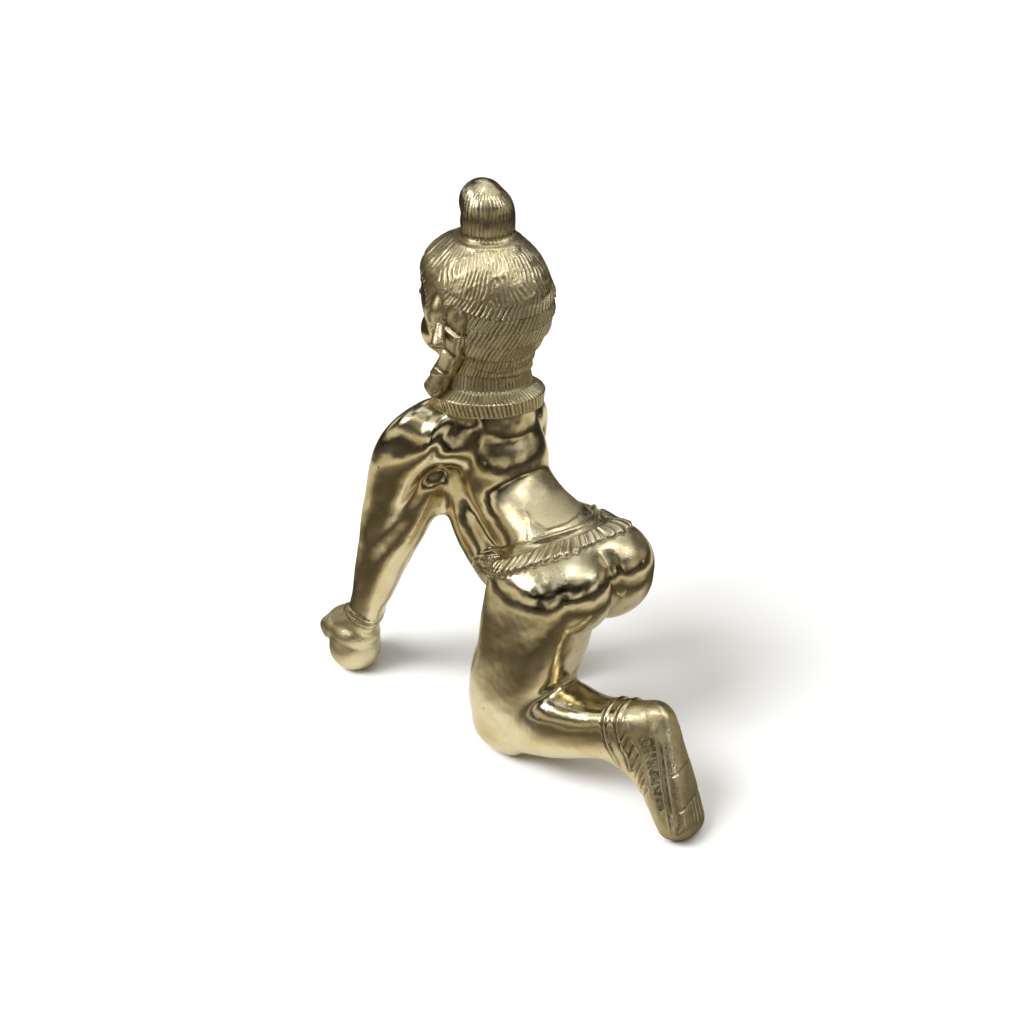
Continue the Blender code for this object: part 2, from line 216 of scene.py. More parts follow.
def strokes(phase, width, seed):
    # hand-cut strokes, one at each whole step of phase, each a little off its place and depth
    number = np.floor(phase)
    off = phase - number - 0.5 - (chance(number, seed) - 0.5) * 0.24
    depth = 0.65 + 0.35 * chance(number, seed + 1)
    return np.clip(1 - (off / width) ** 2, 0, 1) * depth


def wander(points, size, seed):
    # slow drift that keeps rows of strokes from looking ruled
    a = points / size
    return (
        np.sin(a[:, 0] * 1.7 + a[:, 2] * 1.1 + seed)
        + np.sin(a[:, 1] * 1.3 - a[:, 2] * 1.9 + seed * 2.1)
        + np.sin(a[:, 0] * 0.9 - a[:, 1] * 1.6 + a[:, 2] * 0.7 + seed * 3.7)
    ) / 3


def alongLine(points, origin, line):
    line = np.array(line, float) / np.linalg.norm(line)
    offset = points - np.array(origin, float)
    forward = offset @ line
    return forward, np.linalg.norm(offset - np.outer(forward, line), axis=1)


def finishPiece(name, mesh, material):
    middle = figure["footprintMiddle"]
    mesh.transform(Matrix.Scale(grid, 4) @ Matrix.Translation((-middle[0], -middle[1], 0)))
    mesh.shade_smooth()
    mesh.name = name
    mesh.materials.clear()
    mesh.materials.append(material)
    piece = bpy.data.objects.new(name, mesh)
    bpy.context.scene.collection.objects.link(piece)
    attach(piece, "root")
    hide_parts("idol")
    print(name, len(mesh.polygons), "faces")


def linear(hexColour):
    channels = [int(hexColour[i : i + 2], 16) / 255 for i in (1, 3, 5)]
    return (*[c / 12.92 if c <= 0.04045 else ((c + 0.055) / 1.055) ** 2.4 for c in channels], 1)


def addNode(tree, kind, settings=None, inputs=None):
    node = tree.nodes.new(kind)
    for name, value in (settings or {}).items():
        setattr(node, name, value)
    for name, value in (inputs or {}).items():
        if isinstance(value, bpy.types.NodeSocket):
            tree.links.new(value, node.inputs[name])
        else:
            node.inputs[name].default_value = value
    return node


# Cast brass, filed, brushed and buffed by hand: it mirrors its surroundings in streaks and ripples,
# pale yellow where buffed, brown in the chasing that the buff never reached, and grainy where left as cast.
brassLook = {
    "buffed": "#d8cfb2",
    "warmer": "#c3b488",
    "dark": "#33250f",
    "asCast": "#dbd1ad",
    "patchSize": 11.0,  # mm, where one stretch of buffing meets the next
    "speckSize": 1.3,  # mm
    "scratchSpacing": 0.25,  # mm; real ones are finer, drawn as coarse as they need to show
    "filingRipple": 9.0,  # mm between the low swells that filing leaves
    "filingStroke": 1.6,  # mm between file strokes, which run down the limbs
    "castGrain": 0.45,  # mm, sand grain of the mould
    "pitSpacing": 9.0,  # mm between casting pits
    "rippleDepth": 0.00036,  # metres, and so are the depths below
    "strokeDepth": 0.00005,
    "scratchDepth": 0.00002,
    "grainDepth": 0.00022,
    "pitDepth": 0.0002,
    "rawRoughness": 0.24,  # how much duller metal left as cast is than buffed metal
    "cutRoughness": 0.2,  # and the cuts, where dirt stays
}


def handPolishedCastBrass():
    look = brassLook
    material = bpy.data.materials.new("handPolishedCastBrass")
    material.use_nodes = True
    tree = material.node_tree
    tree.nodes.clear()
    place = addNode(tree, "ShaderNodeTexCoord").outputs["Object"]
    along = addNode(tree, "ShaderNodeMapping", {}, {"Vector": place, "Scale": (1.0, 1.0, 0.12)}).outputs[0]
    cutAndShade = addNode(tree, "ShaderNodeAttribute", {"attribute_name": "cutAndShade"}).outputs["Fac"]
    raw = addNode(tree, "ShaderNodeAttribute", {"attribute_name": "raw"}).outputs["Fac"]
    noise = {}
    for name, detail, vector in (
        ("patchSize", 3, place), ("speckSize", 4, place), ("scratchSpacing", 2, along),
        ("filingRipple", 2, place), ("filingStroke", 3, along), ("castGrain", 3, place),
    ):
        inputs = {"Vector": vector, "Scale": 1000 / look[name], "Detail": detail, "Roughness": 0.6}
        noise[name] = addNode(tree, "ShaderNodeTexNoise", {}, inputs).outputs["Fac"]

    # colour: buffed metal, then metal left as cast, then the dark of the cuts, which also paints shade on
    # outward faces of the left thigh and arm
    warmth = addNode(tree, "ShaderNodeMapRange", {}, {
        "Value": noise["patchSize"], "From Min": 0.35, "From Max": 0.7,
    }).outputs[0]
    grainy = addNode(tree, "ShaderNodeMapRange", {}, {
        "Value": noise["speckSize"], "From Min": 0.35, "From Max": 0.6, "To Min": 0.35, "To Max": 0.9,
    }).outputs[0]
    sooty = addNode(tree, "ShaderNodeMapRange", {}, {
        "Value": noise["speckSize"], "From Min": 0.3, "From Max": 0.65, "To Min": 0.95, "To Max": 0.45,
    }).outputs[0]
    multiply = {"operation": "MULTIPLY"}
    castShare = addNode(tree, "ShaderNodeMath", multiply, {0: raw, 1: grainy}).outputs[0]
    darkShare = addNode(tree, "ShaderNodeMath", multiply, {0: cutAndShade, 1: sooty}).outputs[0]
    tone = linear(look["buffed"])
    for share, colour in ((warmth, "warmer"), (castShare, "asCast"), (darkShare, "dark")):
        inputs = {0: share, 6: tone, 7: linear(look[colour])}
        tone = addNode(tree, "ShaderNodeMix", {"data_type": "RGBA"}, inputs).outputs[2]

    polish = addNode(tree, "ShaderNodeMapRange", {}, {
        "Value": noise["patchSize"], "From Min": 0.3, "From Max": 0.75, "To Min": 0.1, "To Max": 0.24,
    }).outputs[0]
    roughness = polish
    for share, duller in ((raw, look["rawRoughness"]), (cutAndShade, look["cutRoughness"])):
        inputs = {0: share, 1: duller, 2: roughness}
        roughness = addNode(tree, "ShaderNodeMath", {"operation": "MULTIPLY_ADD"}, inputs).outputs[0]

    grain = addNode(tree, "ShaderNodeMath", multiply, {0: noise["castGrain"], 1: raw}).outputs[0]
    inputs = {"Vector": place, "Scale": 1000 / look["pitSpacing"]}
    pits = addNode(tree, "ShaderNodeTexVoronoi", {"feature": "F1"}, inputs)
    pits = addNode(tree, "ShaderNodeMapRange", {}, {
        "Value": pits.outputs["Distance"], "From Min": 0.03, "From Max": 0.06,
    }).outputs[0]
    normal = None
    for height, depth, strength in (
        (noise["filingRipple"], look["rippleDepth"], 0.8), (noise["filingStroke"], look["strokeDepth"], 0.8),
        (noise["scratchSpacing"], look["scratchDepth"], 0.9), (grain, look["grainDepth"], 1.0),
        (pits, look["pitDepth"], 0.6),
    ):
        inputs = {"Height": height, "Distance": depth, "Strength": strength}
        if normal:
            inputs["Normal"] = normal
        normal = addNode(tree, "ShaderNodeBump", {}, inputs).outputs[0]

    shader = addNode(tree, "ShaderNodeBsdfPrincipled", {}, {
        "Base Color": tone, "Metallic": 1.0, "Roughness": roughness, "Normal": normal,
    })
    addNode(tree, "ShaderNodeOutputMaterial", {}, {"Surface": shader.outputs[0]})
    return material


brass = handPolishedCastBrass()
print("materials ready")

# Body: trunk, arms and legs in one skin.
body = {
    "fleshVoxel": 0.6,
    "fleshRounds": 34,
    "skinVoxel": 0.55,
    "skinRounds": 6,
    "mostTriangles": 190000,
    "photoLeft": (0.743, -0.669, 0.0),  # the level way to the left as the photo's camera sees it
    "waistCentre": (0.0, 20.0, 63.4),
    "waistNormal": (0.0, -0.467, 0.884),
    "cordWidth": 1.7,
    "cordHeight": 0.8,
    "fringeLength": 4.8,
    "fringeHeight": 0.75,
    "strokePitch": 1.15,
    "ruffle": 1.7,
    "foldArc": [
        (-25.9, 4.5), (-23.5, 4.2), (-19.5, 3.4), (-14.7, 1.9), (-9.1, 1.9), (-6, 4.6), (-3.5, 9.0),
    ],
    "dip": 0.045,  # how fast the band drops under the belly
    "apron": 4.4,  # how much longer the fringe hangs over the left hip
    "anklets": [((10.3, 54.3, 22.5), (-0.24, 0.90, 0.37)), ((-15.8, -0.5, 13.0), (0, 0, 1))],
    "ankletSpan": (12, 3.9),  # how far out from the limb's line, and how far apart the pair of rings is
    "braceletSpan": (8, 2.1),
    "footPlace": (7.2, 64.4, 19.6),
    "footDown": (0.18, 0.588, -0.787),
    "footAcross": (-0.915, -0.198, -0.356),
    "armAcross": (-0.42, 0.907, 0),
    "bracelets": [
        ((25.0, -36.6, 19.6), (-0.12, 0.30, 0.94)), ((-22.0, -33.0, 66.0), (0.0, -0.92, 0.38)),
    ],
}
leftFoot = [
    (5.4, 60.6, 26.0, 4.8, 7.2), (7.2, 64.4, 19.6, 5.8, 7.4),
    (8.9, 71.3, 11.2, 6.7, 6.2), (10.2, 77.0, 4.0, 6.9, 4.8),
]
bodyFlesh = {
    "limbs": [
        # trunk
        ([(0, 27, 54, 15.5, 12.5), (0, 19, 57, 14.5, 12.0), (0, 7, 62, 12.8, 11.0), (0, -1, 69, 12.3, 10.5),
          (0, -4, 77, 13.5, 10.8), (0, -8, 87, 13.0, 8.5)],),
        ([(0, -10.5, 76, 12.6, 9.8), (0, -9.0, 63, 13.4, 12.2), (2.5, -2.5, 55, 12.4, 11.6),
          (5.0, 6, 50, 11.0, 10.5)],),
        # left thigh, shin and foot
        ([(11.0, 24.5, 50, 14.0, 14.0), (13.5, 23.5, 36, 13.6, 13.6), (15.9, 20.2, 21, 12.4, 12.4),
          (16.8, 19.6, 9.7, 10.7, 10.7)], (0.98, 0.17, 0), 2.8),
        ([(16.8, 19.5, 10.6, 9.8, 9.8), (14.2, 34.5, 16.2, 10.6, 10.6), (12.0, 47.0, 19.0, 8.2, 8.2),
          (9.5, 57.0, 23.0, 7.4, 7.4)], (1, 0, 0), 2.5),
        (leftFoot, body["footAcross"], 3.4),
        ([(10.5, 52.0, 17.5, 6.6, 6.6), (9.8, 60.0, 15.5, 5.5, 5.5), (10.0, 68.0, 10.0, 4.6, 4.6)],),
        # right thigh, shin and foot
        ([(-9.5, 27, 50, 13.5, 13.5), (-13.5, 8, 48, 12.6, 12.6), (-16.0, -7, 44, 10.5, 10.5)],),
        ([(-16.0, -7, 44, 9.6, 9.6), (-16.2, -4, 32, 9.2, 9.2), (-16.0, -1, 18, 7.6, 7.6),
          (-15.6, 0, 8, 6.8, 6.8)],),
        ([(-15.0, 3, 4.8, 5.6, 5.5), (-16.5, -7, 5.2, 6.0, 5.5), (-19.5, -17, 3.6, 6.8, 4.2),
          (-21.5, -24, 2.8, 6.4, 3.2)], (1, 0, 0), 3.0),
        # left arm, and the web of metal from it to the ribs
        ([(9.0, -9.0, 83.5, 8.5, 8.0), (15.0, -15.0, 84.0, 8.4, 8.4), (20.0, -21.5, 77.0, 7.7, 7.7),
          (22.0, -26.0, 63.0, 6.2, 6.2), (23.0, -30.0, 47.0, 5.5, 5.5), (24.0, -34.0, 29.0, 5.0, 5.0),
          (25.0, -37.0, 18.0, 4.7, 4.7)], body["armAcross"], 3.8),
        ([(15.0, -19.0, 68.0, 6.0, 7.0), (18.5, -22.5, 56.0, 6.4, 6.4), (20.7, -25.4, 49.0, 6.5, 6.5),
          (22.4, -28.6, 40.0, 5.9, 5.9), (23.8, -32.8, 29.0, 5.2, 5.2)],),
        # right arm
        ([(-10.0, -9.0, 82.0, 7.5, 7.5), (-17.0, -14.0, 79.0, 7.0, 7.0), (-20.5, -17.5, 70.0, 6.2, 6.2),
          (-22.0, -21.0, 62.0, 5.8, 5.8)],),
        ([(-22.0, -21.0, 62.0, 5.8, 5.8), (-22.5, -28.0, 64.0, 5.2, 5.2), (-22.0, -35.0, 67.0, 4.6, 4.6)],),
        # neck
        ([(0, -7.0, 86, 11.0, 10.5), (0, -9.0, 96, 11.0, 11.0), (0, -9.2, 100, 10.4, 10.4)],),
    ],
    "eggs": [
        ((14, -19.5, 66), (11.0, 5.5, 10.0), (0, 0, -51)),
        ((7.3, 31, 52.6), (12.0, 12.0, 12.5)),
        ((-7.5, 31.0, 54.4), (12.1, 12.0, 12.0)),
    ],
}
bodyTrim = {
    "limbs": [
        ([(*s[:3], s[3] * 0.94, s[4] * 0.95) for s in leftFoot], body["footAcross"], 5.5),
        # filed flats of the left arm
        ([(19.4, -21.4, 76.0, 5.6, 5.6), (22.0, -26.0, 63.0, 6.1, 6.1), (23.0, -30.0, 47.0, 5.5, 5.5),
          (24.0, -34.0, 29.0, 5.0, 5.0), (25.0, -37.0, 18.0, 4.7, 4.7)], body["armAcross"], 3.5),
    ],
    "eggs": [],
}
palm = 15.4  # top of the ball under the left hand
bodyTrim["eggs"] += [
    ((25.8, -41.0, 7.0), (7.7, 7.7, 7.7)),
    ((25.6, -46.0, palm - 4.4), (6.2, 4.8, 5.2)),
    ((25.6, -40.2, palm - 2.6), (7.2, 6.8, 4.6)),
    ((27.6, -45.2, palm - 2.4), (4.9, 4.6, 4.8)),
    ((24.4, -39.0, palm - 3.4), (5.6, 5.2, 4.4)),
    ((25.4, -35.8, palm - 3.2), (5.0, 2.6, 3.2)),
    ((-21.7, -42.0, 75.0), (6.0, 6.0, 6.0)),
]
bodyTrim["limbs"] += [
    ([(25.2, -37.0, palm + 3.0, 5.0, 5.0), (25.4, -41.6, palm + 1.0, 5.8, 4.4),
      (25.5, -45.8, palm - 2.4, 6.2, 4.8)],),
    ([(20.9, -38.5, palm - 0.8, 1.9, 1.9), (18.6, -42.0, palm - 3.4, 1.7, 1.7),
      (18.6, -45.6, palm - 6.0, 1.5, 1.5)],),
    ([(-22.0, -34.0, 66.4, 4.4, 3.4), (-21.8, -39.5, 67.2, 5.4, 2.6), (-21.5, -44.5, 68.4, 5.4, 2.2)],),
    ([(-26.6, -37.0, 67.6, 1.8, 1.8), (-28.4, -40.6, 71.0, 1.6, 1.6), (-27.0, -43.4, 74.6, 1.4, 1.4)],),
]
for finger in range(4):
    spread = finger - 1.5
    bodyTrim["limbs"] += [
        ([(25.5 + spread * 2.85, -45.8, palm + 0.2, 1.6, 1.6),
          (25.5 + spread * 3.0, -49.4, palm - 3.0, 1.6, 1.6),
          (25.5 + spread * 2.7, -49.0, palm - 6.8, 1.5, 1.5)],),
        ([(-21.5 + spread * 2.7, -43.5, 68.6, 1.5, 1.5), (-21.5 + spread * 2.8, -48.6, 70.8, 1.4, 1.4),
          (-21.5 + spread * 2.4, -49.0, 75.2, 1.3, 1.3)],),
    ]
for toe in range(5):
    share = (toe - 2) / 2
    left = 1.9 if toe == 4 else 1.4
    right = 1.9 if toe == 0 else 1.45
    bodyTrim["eggs"] += [
        ((10.6 - share * 4.6, 78.6 - share * 1.2, 3.4 - share * 1.7), (left, left * 1.3, left * 1.4)),
        ((-21.9 - share * 4.8, -27.0 + share * 1.8, 2.1), (right, right * 1.8, right)),
    ]


def bandLength(points, centre, normal):
    # distance round the waist at each point, from the outline where the band runs
    normal = np.array(normal) / np.linalg.norm(normal)
    offset = points - np.array(centre)
    forward = np.cross(normal, (1, 0, 0))
    angle = np.arctan2(offset[:, 0], offset @ forward)
    radius = np.linalg.norm(offset - np.outer(offset @ normal, normal), axis=1)
    near = np.abs(offset @ normal) < 1.5
    bins = np.linspace(-math.pi, math.pi, 121)
    middles = (bins[1:] + bins[:-1]) / 2
    which = np.digitize(angle, bins) - 1
    reach = np.full(len(middles), 18.0)
    for i in range(len(middles)):
        here = near & (which == i)
        if here.any():
            reach[i] = np.median(radius[here])
    reach = np.convolve(np.pad(reach, 4, mode="wrap"), np.ones(9) / 9, mode="valid")
    length = np.cumsum(np.sqrt(reach**2 + np.gradient(reach, middles) ** 2)) * (middles[1] - middles[0])
    return np.interp(angle, middles, length)


def inWaistRegion(points):
    arm = (points[:, 0] > 12) & (points[:, 1] < -8)
    raisedThigh = np.clip((points[:, 1] - 10) / 3, 0, 1) + np.clip((points[:, 0] + 11) / 2, 0, 1)
    return np.minimum(raisedThigh, 1) * (np.abs(points[:, 0]) < 27) * (points[:, 1] > -24) * ~arm


def bandHeight(points):
    height = alongLine(points, body["waistCentre"], body["waistNormal"])[0]
    return height + body["dip"] * np.clip(8 - points[:, 1], 0, 12) ** 2


def chaseWaistband(points, normals, lift, cutAndShade, raw):
    # a cord, then a ruffled fringe cut stroke by stroke, with a second row over the left hip
    hips = inWaistRegion(points)
    length = bandLength(points, body["waistCentre"], body["waistNormal"])
    height = bandHeight(points) + 0.25 * np.sin(length / 5.3)
    relief = hips * (1 - 0.85 * fade(-points[:, 1], -14, -4))  # shallower on the belly
    lift += relief * ridge(height, body["cordWidth"]) * body["cordHeight"]
    under = ridge(height + 1.25, 0.9)
    lift -= relief * under * 0.3
    cutAndShade += hips * under * 0.6
    overHip = fade(-points[:, 1], -15, -7) * fade(points[:, 0], 0, 4)
    slant = length + 0.35 * height
    ruffle = slant / body["ruffle"] + 0.15 * np.sin(length / 3.1)
    wave = np.abs(ruffle - np.floor(ruffle) - 0.5)
    scallop = body["fringeLength"] + body["apron"] * overHip + 1.1 * wave - 0.3
    inside = fade(-height, 1.3, 2.0) * (1 - fade(-height, scallop - 0.5, scallop + 0.1))
    fold = strokes(ruffle, 0.2, 3) * (1 - 0.7 * overHip)
    lean = 0.35 - 1.1 * overHip * (height > -4.6)
    fine = strokes((length + lean * height) / body["strokePitch"], 0.24, 5)
    groove = np.maximum(fold, fine * (0.35 + 0.6 * overHip)) * fade(-height, 1.4, 1.9)
    seam = ridge(height + 4.6, 0.8) * overHip
    lift += relief * inside * (body["fringeHeight"] - 0.7 * groove - 0.5 * seam)
    edge = ridge(-height - scallop - 0.15, 0.9)
    lift -= relief * edge * 0.28
    cutAndShade += hips * (inside * np.maximum(groove, seam) * 0.85 + edge * 0.75)
    # fold of cloth above the cord at the small of the back
    across = points @ np.array(body["photoLeft"])
    places, rises = zip(*body["foldArc"])
    fold = height - np.interp(across, places, rises)
    back = hips * fade(normals[:, 2], 0.2, 0.5) * fade(across, -27, -25) * fade(-across, 3.6, 4.6)
    lift += back * (0.25 * fade(-fold, -0.2, 0.2) * fade(height, 0.8, 1.2) - ridge(fold - 0.4, 0.9) * 0.2)
    cutAndShade += back * ridge(fold - 0.3, 0.8) * 0.55
    raw += back * fade(fold, 0.2, 0.8) * fade(-height, -11, -8) * 0.7


def chaseFoot(points, normals, lift, cutAndShade, raw):
    # side of the foot: chased instep, a grainy strip, and a groove above the sole
    down, across = np.array(body["footDown"]), np.array(body["footAcross"])
    out = np.cross(down, across)
    local = points - np.array(body["footPlace"])
    u, w, d = local @ down, local @ across, local @ out
    here = (points[:, 1] > 52) & (points[:, 2] < 34)
    side = here * fade(-(normals @ across), 0.35, 0.7)
    groove = side * ridge(d - 4.3 + 0.1 * u, 1.1) * fade(u, -2, 1) * fade(-u, -18.5, -16)
    lift -= groove * 0.55
    cutAndShade += groove * 0.9
    rim = side * ridge(d - 3.2 + 0.1 * u, 1.0) * fade(u, -7, -4)
    lift += rim * 0.25
    strip = side * fade(d, -1.0, -0.5) * fade(-d, -3.2 + 0.1 * u, -2.7 + 0.1 * u)
    strip = strip * fade(u, -5, -2) * fade(-u, -18, -15)
    grain = wander(points, 0.27, 9.0) + wander(points, 0.5, 4.0)
    lift += strip * (0.12 * grain - 0.25)
    cutAndShade += strip * (0.95 + 0.5 * grain)
    raw += strip * 0.8
    post = side * ridge(d + 1.9, 1.1) * fade(u, -11, -9) * fade(-u, -2, 0)
    lift += post * 0.3
    leaf = strokes((u + 0.9 * d + 3) / 2.3, 0.2, 71) * side * fade(d, -6.5, -5.5) * fade(-d, 1.8, 2.4)
    leaf = leaf * fade(u, -7, -5) * fade(-u, -12, -9)
    lift -= leaf * 0.45
    cutAndShade += leaf * 0.9
    # sole: two creases and the toes
    sole = here * fade(normals @ out, 0.4, 0.75)
    first = ridge(u - 8 + (w + 6) * 0.36, 0.7)
    second = ridge(u - 16.4 + (w + 3.7) * 0.36, 0.8)
    toeLine = 14.2 - w * 0.36
    toes = strokes(w / 1.9, 0.16, 77) * fade(u, toeLine + 0.8, toeLine + 1.6) * fade(w, -1.5, 0)
    lift -= sole * (0.2 * first + 0.25 * second + 0.3 * toes)
    cutAndShade += sole * (0.5 * first + 0.6 * second + 0.8 * toes)


def chaseBody(points, normals):
    count = len(points)
    lift, cutAndShade, raw = np.zeros(count), np.zeros(count), np.zeros(count)
    chaseWaistband(points, normals, lift, cutAndShade, raw)
    chaseFoot(points, normals, lift, cutAndShade, raw)

    # cleft
    seat = fade(points[:, 1], 33, 39) * fade(-points[:, 2], -66, -62)
    lift -= seat * ridge(points[:, 0], 6.0) * 1.0
    cutAndShade += seat * ridge(points[:, 0], 1.6) * 0.35

    # rings on ankles and wrists
    rings = [(ring, *body["ankletSpan"]) for ring in body["anklets"]]
    rings += [(ring, *body["braceletSpan"]) for ring in body["bracelets"]]
    for (origin, line), reach, gap in rings:
        forward, off = alongLine(points, origin, line)
        near = off < reach
        for place in (0.0, gap):
            lift += near * ridge(forward - place, 1.5) * 0.4
            lift -= near * ridge(forward - place + 0.95, 0.8) * 0.25
            cutAndShade += near * ridge(forward - place + 0.95, 0.9) * 0.8

    # hand filing leaves nothing quite round
    lift += fade(points[:, 2], 2, 6) * (0.16 * wander(points, 4.2, 5.0) + 0.05 * wander(points, 1.7, 1.0))

    # hand, ball and foot are hardly buffed
    hand = fade(points[:, 0], 12, 14) * fade(-points[:, 1], 30, 32) * fade(-points[:, 2], -21, -19)
    heel = fade(points[:, 1], 55, 60) * fade(-points[:, 2], -34, -32)
    raw += 0.6 * hand + 0.4 * heel
    # painted shade: the outward faces of the left thigh and the left arm are tinted dark olive, as a painted
    # dark reflection
    face = fade(normals[:, 0], 0.5, 0.85) * fade(points[:, 2], 16, 26) * fade(-points[:, 2], -58, -50)
    cutAndShade += 0.25 * face * fade(points[:, 1], 4, 12)
    arm = fade(normals @ np.array(body["photoLeft"]), 0.5, 0.85) * fade(-points[:, 1], 12, 16)
    cutAndShade += 0.2 * arm * fade(points[:, 2], 22, 26) * fade(points[:, 0], 12, 15)
    smallOfBack = fade(normals[:, 2], 0.3, 0.6) * fade(points[:, 1], 0, 6) * fade(points[:, 2], 58, 62)
    raw += 0.4 * smallOfBack

    # metal left as it came from the mould: in the bend of the knee, and two blemishes
    for spot, size in (((8.0, 32.5, 28.5), 11.0), ((18.0, 43.0, 12.5), 4.5), ((27.5, -20.0, 62.0), 2.5)):
        patch = ridge(np.linalg.norm(points - np.array(spot), axis=1), size)
        lumps = wander(points, 0.8, 2.0) + 0.7 * wander(points, 0.45, 6.0)
        raw += patch * 1.3
        cutAndShade += patch * fade(-lumps, 0.2, 0.6) * 0.6
        lift += patch * 0.22 * lumps
    return lift, cutAndShade, raw


print("modelling the body")
mesh = model(bodyFlesh, bodyTrim, body)
points, normals = readPoints(mesh)
height = bandHeight(points)
foot = (points[:, 1] > 50) & (points[:, 2] < 34)
refine(mesh, foot | (inWaistRegion(points) > 0) & (height < 1.5) & (height > -11))
chase(mesh, chaseBody)
finishPiece("castBody", thin(mesh, body["mostTriangles"]), brass)

# Head: hair, ears, locks and face in one skin, at a finer grain.
head = {
    "fleshVoxel": 0.45,
    "fleshRounds": 30,
    "skinVoxel": 0.32,
    "skinRounds": 4,
    "axis": -9.6,
    "skullRadius": 17,
    "tiers": [125.2, 121.4, 117.4, 113.0, 108.6, 104.4, 99.6],  # edges of the rows of hair, at the nape
    "rowsEnd": 1.75,  # radians from the nape, behind the ears
    "plates": [126.0, 118.2, 110.4, 103.4],  # edges of the lapped plates of a lock
    "tierRise": 3.2,  # how far the rows climb towards the ears
    "rowStep": 0.72,
    "rowPitch": 1.3,
    "rowCut": 0.8,
    "crownPitch": 1.45,
    "crownCut": 0.34,
    "hairLift": 0.45,
    "temples": -16.2,  # where the hairline stands at the side of the head
    "hairlineTop": 131.0,
    "collarTop": 100.8,
    "collarTilt": (0.087, 0.105),  # rise of the collar towards the left and towards the back
    "knotFoot": 137.9,
    "knotAxis": -9.4,
    "knotRadius": 7.2,
    "knotPitch": 1.2,
    "dropLine": (0.46, 0.36, -0.81),  # the way that the open end of the left ear drop faces
}
headFlesh = {
    "limbs": [
        ([(0, -9.4, 97, 10.4, 10.6), (0, -9.2, 104, 11.0, 11.3), (0, -9.2, 112, 12.0, 12.0)],),
        ([(0, -9.3, 136.0, 6.3, 6.3), (0, -9.2, 140.5, 7.1, 7.1), (0, -9.6, 144.6, 7.2, 7.1),
          (0, -11.3, 146.7, 6.2, 6.1)],),
    ],
    "eggs": [
        ((0, -10.0, 121), (16.5, 18.2, 18.6)),
        ((0, -15.5, 127), (14.2, 12.5, 10.5)),
        ((0, -14.5, 110), (12.6, 12.0, 10.5)),
        ((0, -8.4, 137.2), (8.2, 8.0, 2.6)),
    ],
    "pairedEggs": [((6.8, -19.5, 110.5), (6.2, 6.4, 6.6))],
}
headTrim = {
    "limbs": [
        ([(0, -27.6, 122.5, 1.2, 1.2), (0, -28.6, 118.0, 1.4, 1.4), (0, -29.4, 114.4, 2.0, 1.8)],),
        ([(-3.4, -26.6, 109.2, 0.6, 0.7), (-1.4, -27.4, 109.7, 0.9, 0.9), (0, -27.5, 109.3, 0.8, 0.9),
          (1.4, -27.4, 109.7, 0.9, 0.9), (3.4, -26.6, 109.2, 0.6, 0.7)], (0, 0, 1)),
        ([(-2.5, -26.5, 107.7, 0.8, 0.8), (0, -27.3, 107.2, 1.2, 1.1),
          (2.5, -26.5, 107.7, 0.8, 0.8)], (0, 0, 1)),
    ],
    "eggs": [((0, -23.4, 103.2), (4.6, 3.8, 3.0))],
    "pairedLimbs": [
        # ear, its drop, and the lock behind it
        ([(15.3, -10.2, 125.2, 0.8, 1.0), (16.5, -10.4, 122.0, 1.2, 1.9), (16.2, -10.8, 118.2, 1.3, 1.6)],),
        ([(15.8, -9.6, 118.8, 0.8, 0.8), (16.9, -8.8, 117.0, 1.1, 1.1), (18.0, -7.9, 115.2, 1.5, 1.5),
          (18.8, -7.3, 113.8, 1.6, 1.6)],),
        ([(11.8, -4.0, 126.0, 1.2, 2.4), (14.3, -4.2, 121.4, 1.4, 2.6), (14.3, -5.4, 115.6, 1.6, 2.5),
          (13.2, -8.2, 109.0, 2.1, 2.3), (13.4, -11.4, 103.4, 2.4, 2.4), (15.0, -13.2, 98.0, 2.8, 3.0)],
         (1, 0, 0), 5.0),
        # brow
        ([(2.6, -27.6, 124.6, 0.8, 0.7), (6.6, -27.2, 126.0, 0.8, 0.7),
          (11.0, -22.9, 124.6, 0.7, 0.6)], (0, 0, 1)),
    ],
    "pairedEggs": [
        ((6.2, -25.3, 119.8), (3.4, 2.2, 2.1), (0, 4, -14)),
        ((1.9, -28.3, 114.0), (1.3, 1.3, 1.1)),
    ],
}


def awayFrom(points, stations):
    # distance from the nearer of a pair of mirrored paths
    best = np.full(len(points), 99.0)
    mirrored = np.stack([np.abs(points[:, 0]), points[:, 1], points[:, 2]], axis=1)
    for spot in smoothPath(stations, 6)[:, :3]:
        best = np.minimum(best, np.linalg.norm(mirrored - spot, axis=1))
    return best


